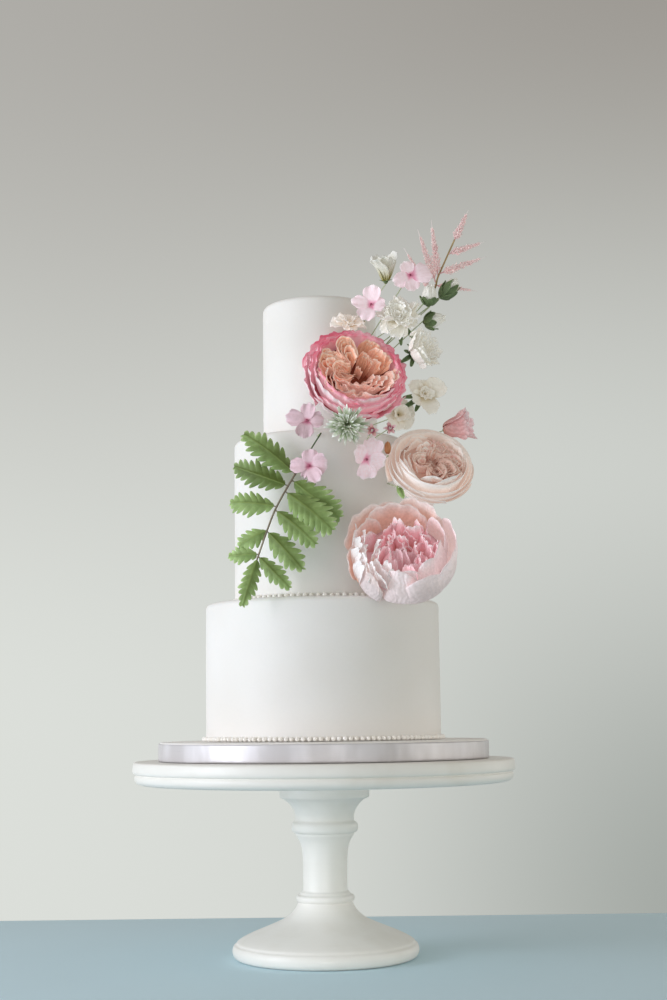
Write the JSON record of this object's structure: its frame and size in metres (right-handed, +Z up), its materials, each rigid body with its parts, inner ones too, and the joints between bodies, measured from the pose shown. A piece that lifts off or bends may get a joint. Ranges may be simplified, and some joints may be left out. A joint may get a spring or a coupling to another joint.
{
  "type": "tiered wedding cake",
  "caption": "Tiered iced wedding cake with beaded borders, sugar flowers and leaves, on a ribboned board and a turned pedestal stand.",
  "frame": {"origin": "centre of the underside of the stand's foot, on the cake's axis", "axes": "+Z up along the cake's axis, -Y towards the side with the flowers"},
  "size_m": [0.3286, 0.3286, 0.6453],
  "materials": {
    "painted_wood": "white satin paint on turned wood",
    "satin_ribbon": "silver-white satin",
    "icing": "smooth matt sugar paste",
    "petal_coral": "matt sugar petals, rose pink to peach",
    "petal_blush": "matt sugar petals, blush and cream",
    "petal_peony": "matt sugar petals, pale pink and peach",
    "petal_pink": "matt sugar petals, lilac pink",
    "petal_white": "matt sugar petals, cream white",
    "bud_green": "matt sugar sepals, green",
    "bud_peach": "matt sugar bud, peach brown",
    "sage": "matt sugar florets, sage green",
    "leaf": "matt sugar leaf, mid green",
    "plume": "matt sugar plumes, dusty pink"
  },
  "bodies": {
    "root": {"stand_pedestal": "painted_wood", "stand_plate": "painted_wood", "cake_board": "icing", "board_ribbon": "satin_ribbon", "tier_bottom": "icing", "tier_middle": "icing", "tier_top": "icing", "rose_coral": "petal_coral", "rose_blush": "petal_blush", "peony_blush": "petal_peony", "blossom_pink_left": "petal_pink", "blossom_pink_wall": "petal_pink", "blossom_pink_low": "petal_pink", "blossom_pink_high": "petal_pink", "blossom_pink_tier": "petal_pink", "blossom_white_full": "petal_white", "blossom_white_side": "petal_white", "blossom_white_open": "petal_white", "blossom_white_low": "petal_white", "blossom_white_tall": "petal_white", "blossom_cream": "petal_white", "bud_front": "bud_green", "bud_upper": "bud_green", "bud_side": "bud_green", "bud_pink": "petal_pink", "bud_peach": "bud_peach", "head_green": "sage", "floret_left": "petal_white", "floret_right": "petal_white", "leaf_spray": "leaf", "leaf_small": "leaf", "plume_pink": "plume"}
  },
  "joints": []
}
